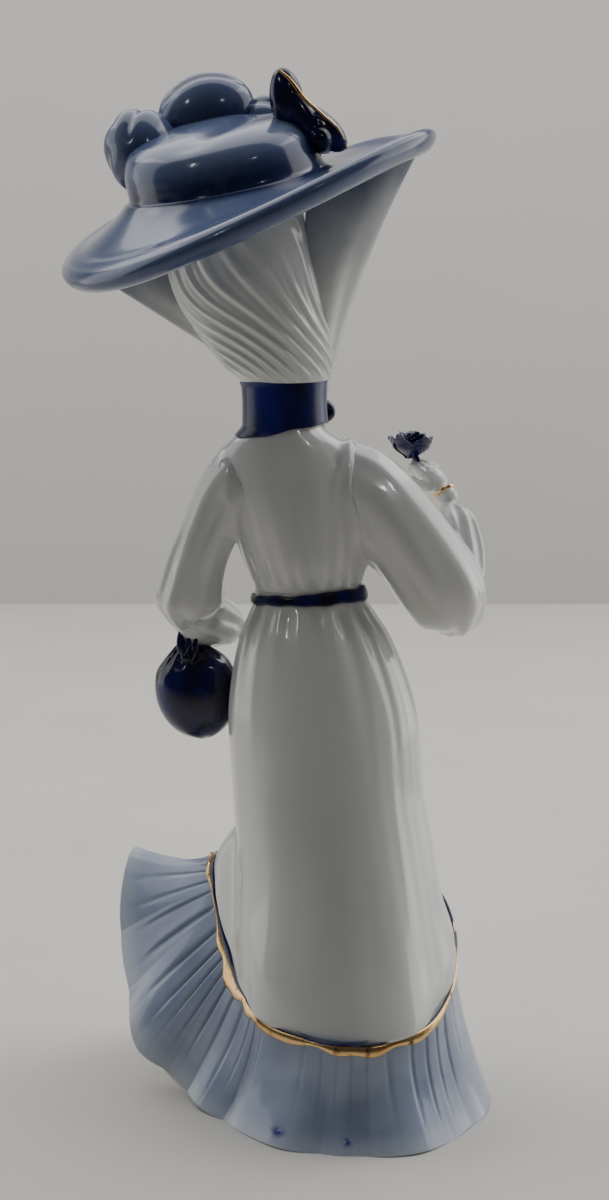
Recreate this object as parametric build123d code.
"""Slip-cast porcelain figurine of a lady out walking: wide hat, veil, puffed sleeves, purse and flounced hem.

Every node is one piece as it leaves its mould, before the pieces are luted together with slip.
Frame: +Z up, the lady faces -Y, her right hand is on -X, the origin is the middle of the foot on the table.
All sizes are millimetres.
"""

import os
from math import asin, cos, hypot, radians, sin

from build123d import *

# ---- Casting -------------------------------------------------------------------------------------------
WALL = 2.6  # slip-cast wall of the hollow body
HAT_WALL = 2.2  # wall of the hollow crown
SHEET = 1.8  # thickness of rolled sheets: veil and bow tails

# ---- Stack of the hollow body, from the table up ---------------------------------------------------------
SKIRT_TOP = 103.2  # table to the belt's lower edge
BELT_HEIGHT = 2.8
BELT_PROUD = 0.6  # how far the belt stands out of the waist
BODICE_HEIGHT = 32.5
COLLAR_HEIGHT = 9.1
HEAD_HEIGHT = 33.0  # collar to the middle of the hat's brim

# ---- Hem ---------------------------------------------------------------------------------------------
HEM_LINE = [(34, 21.5), (22, 22.5), (10, 27.0), (0, 33.5), (-10, 42.5), (-18, 47.5), (-30, 48.0)]  # y, height
HEM_STEP = 0.7  # the skirt's edge stands this far over the flounce
FLUTE_DEPTH = 1.1  # of the flounce, at the table
SWIRL_TIP_HEIGHT = 45.0  # how far the lifted corner of the hem rises over the table
# Rim of the flounce: turn in degrees from her left towards her back, reach, share of the lift.
RIM = [
    (60, 34.0, 0.0), (44, 31.5, 0.0), (30, 31.0, 0.0), (14, 33.5, 0.03), (5, 38.0, 0.1), (-3, 42.5, 0.2),
    (-11, 46.5, 0.38), (-18, 49.0, 0.58), (-25, 50.5, 0.8), (-31, 51.0, 1.0), (-38, 50.0, 0.86),
    (-46, 46.5, 0.56), (-54, 41.5, 0.25), (-63, 37.0, 0.06), (-76, 35.6, 0.0), (-90, 35.0, 0.0),
    (-104, 34.0, 0.0), (-118, 33.0, 0.0), (-132, 31.5, 0.0), (-146, 30.5, 0.0), (-160, 30.0, 0.0),
    (-174, 30.0, 0.0), (-188, 30.3, 0.0), (-202, 31.5, 0.0), (-216, 33.0, 0.0), (-230, 34.5, 0.0),
    (-244, 35.5, 0.0), (-258, 36.0, 0.0), (-272, 36.0, 0.0), (-286, 35.0, 0.0), (-300, 34.0, 0.0),
]
LINING = (4, 13)  # the stretch of the rim, by place in the list, that stands on a lining and not on the table

# ---- Foot --------------------------------------------------------------------------------------------
FOOT_HALF_WIDTH, FOOT_HALF_DEPTH = 30.0, 36.0
FLOOR_LIFT = 1.2  # the closing disc is set up from the table
FLOOR_THICKNESS = 2.4
VENT_RADIUS = 4.0

# ---- Waist and neck, the two narrow places that the rest hangs on -----------------------------------------
WAIST = (7.0, -4.0, 11.2, 8.6)  # centre x, centre y, half width, half depth
NECK = (11.7, -3.7, 8.6, 7.8)

# Stations of the body: share of the height, centre x, centre y, half width, half depth.
SKIRT_STATIONS = [
    (0.16, 1.0, 3.5, 25.5, 27.5),
    (0.28, 1.0, 1.0, 23.8, 25.0),
    (0.44, 1.0, -1.0, 20.8, 20.5),
    (0.61, 3.1, -2.5, 19.6, 17.0),
    (0.81, 4.6, -3.5, 18.6, 15.0),
    (0.93, 6.2, -3.7, 14.2, 11.5),
    (1.0, *WAIST),
]
BODICE_STATIONS = [
    (0.0, *WAIST),
    (0.22, 8.2, -4.3, 12.6, 9.8),
    (0.5, 9.5, -4.5, 14.5, 10.6),
    (0.76, 10.6, -4.2, 14.8, 9.6),
    (0.9, 11.3, -3.8, 11.6, 8.4),
    (1.0, *NECK),
]
HEAD_STATIONS = [
    (0.0, 12.2, -3.5, 8.8, 8.4),
    (0.13, 14.0, -3.5, 11.0, 10.8),
    (0.32, 16.5, -3.2, 13.4, 13.0),
    (0.53, 18.3, -3.0, 14.8, 14.2),
    (0.74, 19.8, -3.0, 15.0, 14.2),
    (1.0, 21.0, -3.0, 14.2, 13.4),
]

# ---- Veil ----------------------------------------------------------------------------------------------
VEIL_END = 4.5  # width left at the chin
BOW_DEPTH = 3.2
TAIL_DROP = 14.0  # how far the bow's tails hang below its knot

# ---- Hat ---------------------------------------------------------------------------------------------
BRIM_RADIUS = 38.0
BRIM_THICKNESS = 3.4
BRIM_DROOP = 3.5
CROWN_RADIUS = 19.0
CROWN_HEIGHT = 14.5
CROWN_TAPER = 1.0  # the crown's top is this much narrower
CROWN_ROUND = 3.0  # of its upper edge
HAT_SEAT = 1.0  # the ledge inside the hat covers this much of the head's edge
HAT_LEAN, HAT_BACK = 18.5, 11.0  # degrees: down on her left side, down at the back
# Ribbon puffs in a row on the crown's side, from her left to her right: rise and half sizes.
HAT_PUFFS = {
    "hat_puff_left": (3.0, (7.4, 7.4, 8.2)),
    "hat_puff_front": (4.6, (8.4, 7.4, 8.2)),
    "hat_puff_right": (0.5, (7.4, 6.4, 7.6)),
}
FIRST_PUFF = -25.0  # degrees from her left towards the back
PUFF_LAP = 2.2  # how far each puff is pressed into the one before it

# ---- Arms: path point and radius, as offsets from the shoulder that carries them ---------------------------
RIGHT_SHOULDER = (-2.0, -4.0, 0.76)  # x, y, share of the bodice's height
LEFT_SHOULDER = (22.5, -4.0, 0.74)
RIGHT_UPPER = [
    ((4.0, 0.0, 0.5), 6.0),
    ((-6.0, 1.0, -6.5), 7.2),
    ((-13.0, 1.0, -15.0), 7.6),
    ((-18.5, -1.5, -23.0), 7.4),
]
RIGHT_ELBOW, RIGHT_ELBOW_RADIUS = (-19.0, -3.0, -24.8), 8.4
RIGHT_LOWER = [((-19.5, -6.0, -22.0), 6.4), ((-20.5, -9.5, -15.5), 5.4), ((-19.9, -12.2, -9.0), 3.9)]
LEFT_UPPER = [
    ((-4.0, 0.0, 0.5), 5.6),
    ((3.0, 1.0, -6.0), 6.4),
    ((6.5, 1.0, -14.5), 6.6),
    ((7.6, -1.0, -22.5), 6.2),
]
LEFT_ELBOW, LEFT_ELBOW_RADIUS = (7.2, -2.5, -25.0), 6.9
LEFT_LOWER = [((6.0, -5.5, -28.5), 5.9), ((2.5, -10.0, -32.0), 5.1), ((-2.5, -14.0, -34.5), 3.8)]
HAND_LENGTH = 9.0
RIGHT_CURL, LEFT_CURL = (5.0, -1.0, 0.5), (-1.0, 1.0, -2.0)  # how far the fingertips bend aside

# ---- Purse and rose ------------------------------------------------------------------------------------
PURSE_HALF = (8.6, 5.8, 10.6)
PURSE_HANG = (8.0, -7.0, -46.75)  # from the left shoulder, as the arms are
PURSE_LEAN = 14.0  # degrees
STRAP_RADIUS = 1.1
STRAP_DROP = 4.6  # half the height of the strap's loop
ROSE_RADIUS = 4.2
ROSE_HOLD = (7.4, -4.6, 12.6)  # from the right cuff

BODICE_BASE = SKIRT_TOP + BELT_HEIGHT
COLLAR_BASE = BODICE_BASE + BODICE_HEIGHT
HEAD_BASE = COLLAR_BASE + COLLAR_HEIGHT
BOW_HEIGHT = COLLAR_BASE + 0.4 * COLLAR_HEIGHT


def tower(stations, base, height, inset=0.0):
    """A smooth loft through level ellipses, each made smaller all round by inset."""
    return loft(
        [
            Pos(x, y, base + share * height) * Ellipse(half_width - inset, half_depth - inset)
            for share, x, y, half_width, half_depth in stations
        ]
    )


def limb(path):
    """A smooth loft through circles that stand square to a path of (point, radius)."""
    points = [Vector(*point) for point, _ in path]
    rings = []
    for i, (_, radius) in enumerate(path):
        along = points[min(i + 1, len(points) - 1)] - points[max(i - 1, 0)]
        rings.append(Plane(origin=points[i], z_dir=along) * Circle(radius))
    return loft(rings)


def egg(centre, halves, turn=(0, 0, 0)):
    """An ellipsoid with three half sizes, turned about its centre."""
    return Location(centre, turn) * scale(Sphere(1.0), by=halves)


def seated(piece, *neighbours):
    """What is left of a piece once the pieces that it is luted to are taken out of it: its largest solid."""
    for neighbour in neighbours:
        piece = piece - neighbour
    return max(piece.solids(), key=lambda solid: solid.volume)


def from_shoulder(shoulder, offset):
    """A point given as an offset from a shoulder."""
    x, y, share = shoulder
    return (x + offset[0], y + offset[1], BODICE_BASE + share * BODICE_HEIGHT + offset[2])


def at_shoulder(shoulder, path):
    """A limb's path moved to its shoulder."""
    return [(from_shoulder(shoulder, offset), radius) for offset, radius in path]


# ---- Body ----------------------------------------------------------------------------------------------
def along_points(points, at):
    """The second value, at a given first value, of a line through (first, second) points."""
    points = sorted(points)
    for (low, low_value), (high, high_value) in zip(points, points[1:]):
        if low <= at <= high:
            return low_value + (high_value - low_value) * (at - low) / (high - low)
    return points[0][1] if at < points[0][0] else points[-1][1]


def skirt_reach(turn, height):
    """Distance from the origin's axis to the skirt's outside, at a turn and a height."""
    share = height / SKIRT_TOP
    x, y, a, b = (along_points([(row[0], row[i]) for row in SKIRT_STATIONS], share) for i in (1, 2, 3, 4))
    c, s = cos(radians(turn)), sin(radians(turn))
    square, half = (c / a) ** 2 + (s / b) ** 2, c * x / a**2 + s * y / b**2
    rest = (x / a) ** 2 + (y / b) ** 2 - 1
    return (half + (half**2 - square * rest) ** 0.5) / square


def hem_root(turn):
    """Reach and height of the hem line at a turn."""
    height = HEM_LINE[0][1]
    for _ in range(8):
        reach = skirt_reach(turn, height)
        height = along_points(HEM_LINE, reach * sin(radians(turn)))
    return reach, height


def hem_cut():
    """Everything over the hem line, which bends only from front to back."""
    wide = 6 * FOOT_HALF_DEPTH
    edge = Spline(*HEM_LINE)
    (start, low), (end, high) = HEM_LINE[0], HEM_LINE[-1]
    outline = [
        Line((wide, low), (start, low)),
        edge,
        Line((end, high), (-wide, high)),
        Polyline((-wide, high), (-wide, 2 * SKIRT_TOP), (wide, 2 * SKIRT_TOP), (wide, low)),
    ]
    return extrude(Plane.YZ * make_face(outline), wide, both=True)


def body_cavity():
    """The hollow that runs up through the skirt to the waist."""
    return tower(SKIRT_STATIONS, 0, SKIRT_TOP, WALL)


def skirt():
    """The white skirt, from its hem line to the belt."""
    return seated(tower(SKIRT_STATIONS, 0, SKIRT_TOP) & hem_cut(), body_cavity())


def wall_section(turn, line):
    """A slice of wall in the upright plane at a turn: a line of (reach, height) points with WALL under it."""
    middle = len(line) // 2
    ahead = [(line[middle], line[0]), (line[-1], line[0]), (line[-1], line[middle])]
    under = []
    for (reach, height), (to, start) in zip((line[0], line[middle], line[-1]), ahead):
        out, up = to[0] - start[0], to[1] - start[1]
        length = hypot(out, up)
        under.append((reach + WALL * up / length, height - WALL * out / length))
    under[-1] = (under[-1][0], max(under[-1][1], 0.0))
    upper, lower = Spline(*line), Spline(*under)
    face = make_face([upper, lower, Line(upper @ 0, lower @ 0), Line(upper @ 1, lower @ 1)])
    across = Vector(cos(radians(turn)), sin(radians(turn)), 0)
    return Plane(origin=(0, 0, 0), x_dir=across, z_dir=across.cross(Vector(0, 0, 1))) * face


def rim_point(place):
    """Turn, reach and height of one point of the rim, with its flute."""
    turn, reach, lift = RIM[place % len(RIM)]
    flute = FLUTE_DEPTH * (1 if place % 2 else -1) * (1 - lift)
    return turn, reach + flute, lift * SWIRL_TIP_HEIGHT


def flounce_section(place):
    """The flounce's wall at one point of the rim, from just over the hem line to the rim."""
    turn, reach, height = rim_point(place)
    root_reach, root_height = hem_root(turn)
    root = (root_reach - HEM_STEP, root_height + 1.0)
    middle = (root[0] + 0.4 * (reach - root[0]), 0.5 * (root_height + height))
    return wall_section(turn, [root, middle, (reach, height)])


def flounce():
    """The fluted hem: flat on the table at the back, right and front, and swung up on her left."""
    half = len(RIM) // 2
    first = loft([flounce_section(place) for place in range(half + 1)], ruled=True)
    second = loft([flounce_section(place) for place in range(half, len(RIM) + 1)], ruled=True)
    return first + second


def foot_reach(turn):
    """Distance from the origin to the foot's ring under the swirl."""
    c, s = cos(radians(turn)) / (FOOT_HALF_WIDTH - WALL), sin(radians(turn)) / (FOOT_HALF_DEPTH - WALL)
    return 1 / hypot(c, s)


def swirl_lining():
    """The lining that closes the swirl from below, from the inside of its rim down to the foot's ring."""
    sections = []
    for place in range(*LINING):
        turn, reach, height = rim_point(place)
        foot = foot_reach(turn)
        top = (reach - 1.2 * WALL, height - 0.3 * WALL)
        middle = (foot + 0.35 * (top[0] - foot), 0.4 * height)
        sections.append(wall_section(turn, [top, middle, (foot + WALL, 0.0)]))
    return loft(sections, ruled=True)


def floor_disc():
    """The disc that closes the foot, with the hole that lets steam out in the kiln."""
    disc = extrude(Ellipse(FOOT_HALF_WIDTH, FOOT_HALF_DEPTH), FLOOR_THICKNESS)
    return Pos(0, 0, FLOOR_LIFT) * (disc - Cylinder(VENT_RADIUS, 4 * FLOOR_THICKNESS))


def belt():
    """The belt: a flat ring between skirt and bodice, over their hollow."""
    x, y, half_width, half_depth = WAIST
    outside = Ellipse(half_width + BELT_PROUD, half_depth + BELT_PROUD)
    hollow = Ellipse(half_width - WALL, half_depth - WALL)
    return Pos(x, y, SKIRT_TOP) * extrude(outside - hollow, BELT_HEIGHT)


def bodice_block():
    """The bodice's outer shape, filled."""
    return tower(BODICE_STATIONS, BODICE_BASE, BODICE_HEIGHT)


def bodice():
    """The bodice, hollow up to the shoulders."""
    hollow = tower(BODICE_STATIONS[:4], BODICE_BASE, BODICE_HEIGHT, WALL)
    return bodice_block() - hollow


def collar():
    """The high collar, which is also her neck."""
    x, y, half_width, half_depth = NECK
    low = Pos(x, y, COLLAR_BASE) * Ellipse(half_width, half_depth)
    middle = Pos(x, y, COLLAR_BASE + COLLAR_HEIGHT / 2) * Ellipse(half_width - 0.3, half_depth)
    high = Pos(x + 0.3, y, HEAD_BASE) * Ellipse(half_width + 0.5, half_depth + 0.8)
    return loft([low, middle, high])


def foot():
    """Skirt, flounce, lining and floor disc, each seated against the ones before it."""
    white_skirt = skirt()
    whole_flounce = seated(flounce(), white_skirt)
    lining = seated(swirl_lining(), whole_flounce, white_skirt)
    disc = seated(floor_disc(), whole_flounce, lining)
    return {"skirt": white_skirt, "flounce": whole_flounce, "swirl_lining": lining, "floor_disc": disc}


# ---- Head and hat ----------------------------------------------------------------------------------------
def hat_place():
    """Where the hat's brim sits on the head."""
    _, x, y, _, _ = HEAD_STATIONS[-1]
    return Location((x - 1.0, y - 1.0, HEAD_BASE + HEAD_HEIGHT)) * Rot(-HAT_BACK, 0, 0) * Rot(0, HAT_LEAN, 0)


def hat_profile(hollow):
    """Half section of the hat, in its own frame: brim, crown and, if hollow, the room inside the crown."""
    edge = BRIM_THICKNESS / 2
    tip = BRIM_RADIUS - edge
    between = 0.5 * (CROWN_RADIUS + tip)
    top_radius, top = CROWN_RADIUS - CROWN_TAPER, BRIM_THICKNESS + CROWN_HEIGHT
    roof = Line((0, top), (top_radius - CROWN_ROUND, top))
    shoulder = (top_radius - 0.3 * CROWN_ROUND, top - 0.3 * CROWN_ROUND)
    round_top = ThreePointArc(roof @ 1, shoulder, (top_radius, top - CROWN_ROUND))
    side = Line(round_top @ 1, (CROWN_RADIUS, BRIM_THICKNESS))
    over = Spline(side @ 1, (between, BRIM_THICKNESS - 0.25 * BRIM_DROOP), (tip, BRIM_THICKNESS - BRIM_DROOP))
    rim = ThreePointArc(over @ 1, (BRIM_RADIUS, edge - BRIM_DROOP), (tip, -BRIM_DROOP))
    ledge = min(HEAD_STATIONS[-1][3:]) - HAT_SEAT
    under = Spline(rim @ 1, (between, -0.25 * BRIM_DROOP), (ledge, 0))
    if hollow:
        room, ceiling = top_radius - HAT_WALL - CROWN_ROUND + 1.0, top - HAT_WALL
        step = [(ledge, 0), (ledge, BRIM_THICKNESS), (room, BRIM_THICKNESS)]
        inside = [*step, (room, ceiling), (0, ceiling), (0, top)]
    else:
        inside = [(ledge, 0), (0, 0), (0, top)]
    return make_face([roof, round_top, side, over, rim, under, Polyline(*inside)])


def hat_block(hollow=False):
    """The hat turned from its half section and set on the head."""
    half = Plane.XZ * hat_profile(hollow)
    return hat_place() * revolve(half, Axis.Z)


def head():
    """Head and hair, from the collar to the hat."""
    tall = [(share * 1.2, *rest) for share, *rest in HEAD_STATIONS[-1:]]
    return seated(tower(HEAD_STATIONS + tall, HEAD_BASE, HEAD_HEIGHT), hat_block())


def on_hat(x, y, z):
    """A point in the hat's own frame, given in the lady's."""
    return (hat_place() * Pos(x, y, z)).position


def hat_puffs():
    """The puffs from her left to her right, each luted to the one before it."""
    level = BRIM_THICKNESS + 0.55 * CROWN_HEIGHT
    reach = CROWN_RADIUS - 1.0
    made, blocks = {}, [hat_block()]
    turn, before = radians(FIRST_PUFF), None
    for name, (rise, halves) in HAT_PUFFS.items():
        half_width = (halves[0] + halves[1]) / 2
        if before:
            turn -= 2 * asin((before + half_width - PUFF_LAP) / (2 * reach))
        before = half_width
        place = on_hat(reach * cos(turn), reach * sin(turn), level + rise)
        block = egg(place, halves, (-HAT_BACK, HAT_LEAN, 0))
        made[name] = seated(block, *blocks)
        blocks.append(block)
    return made, blocks


def hat_bow(blocks):
    """The bow on the right of the crown: an upright loop, a lying loop and a knot, in one piece."""
    reach, level = CROWN_RADIUS + 0.5, BRIM_THICKNESS + 4.0
    knot = Pos(*on_hat(-reach, 3.0, level)) * Sphere(3.0)
    upright = [
        ((-reach, 2.6, level), 2.0),
        ((1.5 - reach, 1.5, level + 5), 3.2),
        ((3.5 - reach, 0.5, level + 13), 2.2),
    ]
    lying = [
        ((-reach, 2.0, level), 2.0),
        ((-reach - 4, 0.0, level + 1.5), 3.4),
        ((-reach - 10, -3.0, level - 3), 2.2),
    ]
    loops = [limb([(tuple(on_hat(*point)), radius) for point, radius in path]) for path in (upright, lying)]
    return seated(knot + loops[0] + loops[1], *blocks)


# ---- Veil -----------------------------------------------------------------------------------------------
def brim_point(turn, share):
    """A point on the underside of the brim: turn in degrees from her left, share of the radius."""
    radius = share * BRIM_RADIUS
    return on_hat(radius * cos(radians(turn)), radius * sin(radians(turn)), -BRIM_DROOP * share * 0.5 + 1.0)


def veil(turn, near, far, chin):
    """One side of the veil: a flat sheet from a stretch of the brim's underside to the chin."""
    outer, inner, chin = brim_point(turn, far), brim_point(turn, near), Vector(*chin)
    normal = (inner - outer).cross(chin - outer).normalized()
    aside = (outer - inner).normalized() * VEIL_END
    sheet = make_face(Polyline(outer, inner, chin, chin + aside, outer))
    return extrude(sheet, SHEET / 2, dir=normal, both=True)


def veils(blocks):
    """Both sides of the veil, each seated against the blocks around it."""
    x, y, half_width, half_depth = NECK
    chin_right = (x - half_width + 1.5, y - 5.0, HEAD_BASE - 1.5)
    chin_left = (x + 3.0, y - half_depth - 2.5, HEAD_BASE + 1.0)
    return {
        "veil_right": seated(veil(172, 0.36, 0.93, chin_right), *blocks),
        "veil_left": seated(veil(-14, 0.3, 0.86, chin_left), *blocks),
    }


def chin_bow():
    """The knot and two loops of the bow on the front of the collar, flat at the back."""
    x, y, _, half_depth = NECK
    knot_radius, loop_half, loop_rise = 2.3, (5.2, 2.9), 12.0
    outline = Circle(knot_radius)
    for side in (-1, 1):
        outline += Pos(side * loop_half[0], 0.5) * Rot(0, 0, side * loop_rise) * Ellipse(*loop_half)
    return Pos(x, y - half_depth, BOW_HEIGHT) * extrude(Plane.XZ * outline, BOW_DEPTH)


def bow_tails():
    """The bow's two tails: one flat sheet that hangs from the front of the knot."""
    x, y, _, half_depth = NECK
    half = [(0.0, -3.0), (2.4, -TAIL_DROP), (7.2, 1 - TAIL_DROP), (2.2, 0.0), (1.4, 1.6)]
    outline = Polyline(*half, *[(-out, up) for out, up in reversed(half[1:])], close=True)
    sheet = extrude(Plane.XZ * make_face(outline), SHEET)
    return Pos(x, y - half_depth - BOW_DEPTH, BOW_HEIGHT) * sheet


# ---- Arms -----------------------------------------------------------------------------------------------
def sleeve_block(shoulder, upper, elbow, elbow_radius, lower):
    """A puffed sleeve: upper arm, a full elbow and the forearm up to the cuff."""
    ball = Pos(*from_shoulder(shoulder, elbow)) * Sphere(elbow_radius)
    return limb(at_shoulder(shoulder, upper)) + ball + limb(at_shoulder(shoulder, lower))


def hand_block(shoulder, lower, curl):
    """A closed hand that leaves the cuff along the forearm, curled to one side."""
    (before, _), (wrist, radius) = lower[-2:]
    wrist = Vector(*from_shoulder(shoulder, wrist))
    along = (wrist - Vector(*from_shoulder(shoulder, before))).normalized()
    curl = Vector(*curl)
    path = [
        (wrist, radius * 0.72),
        (wrist + along * (0.4 * HAND_LENGTH), radius * 0.8),
        (wrist + along * (0.75 * HAND_LENGTH) + curl * 0.5, radius * 0.92),
        (wrist + along * HAND_LENGTH + curl, radius * 0.6),
    ]
    return limb([(tuple(point), size) for point, size in path])


def arms():
    """Sleeves, hands, rose, purse and strap, and the blocks that later pieces are seated against."""
    body = [bodice_block(), tower(SKIRT_STATIONS, 0, SKIRT_TOP), belt()]
    right = sleeve_block(RIGHT_SHOULDER, RIGHT_UPPER, RIGHT_ELBOW, RIGHT_ELBOW_RADIUS, RIGHT_LOWER)
    left = sleeve_block(LEFT_SHOULDER, LEFT_UPPER, LEFT_ELBOW, LEFT_ELBOW_RADIUS, LEFT_LOWER)
    right_hand = hand_block(RIGHT_SHOULDER, RIGHT_LOWER, RIGHT_CURL)
    left_hand = hand_block(LEFT_SHOULDER, LEFT_LOWER, LEFT_CURL)
    hold = Vector(*from_shoulder(RIGHT_SHOULDER, RIGHT_LOWER[-1][0])) + Vector(*ROSE_HOLD)
    rose = egg(tuple(hold), (ROSE_RADIUS, ROSE_RADIUS, ROSE_RADIUS * 0.85))
    purse_place = from_shoulder(LEFT_SHOULDER, PURSE_HANG)
    purse = egg(purse_place, PURSE_HALF, (0, PURSE_LEAN, 0))
    strap_place = Vector(*purse_place) + Vector(0.5, PURSE_HALF[1] - STRAP_RADIUS, PURSE_HALF[2])
    strap = Location(tuple(strap_place), (90, 0, 0)) * Torus(STRAP_DROP, STRAP_RADIUS)
    return {
        "right_sleeve": seated(right, *body),
        "left_sleeve": seated(left, *body),
        "right_hand": seated(right_hand, right, bodice_block()),
        "left_hand": seated(left_hand, left, *body),
        "rose": seated(rose, right_hand, right),
        "purse": seated(purse, left, *body),
        "purse_strap": seated(strap, purse, left, *body),
    }


def main():
    pieces = {
        **foot(),
        "belt": belt(),
        "bodice": bodice(),
        "collar": collar(),
        "head": head(),
        "hat": hat_block(hollow=True),
    }
    puffs, hat_blocks = hat_puffs()
    pieces.update(puffs)
    pieces["hat_bow"] = hat_bow(hat_blocks)
    pieces["chin_bow"] = chin_bow()
    pieces["bow_tails"] = bow_tails()
    pieces.update(veils([hat_block(), pieces["head"], bodice_block(), pieces["collar"], pieces["chin_bow"]]))
    pieces.update(arms())
    os.makedirs("parts", exist_ok=True)
    for name, piece in pieces.items():
        export_step(piece, f"parts/{name}.step")


if __name__ == "__main__":
    main()
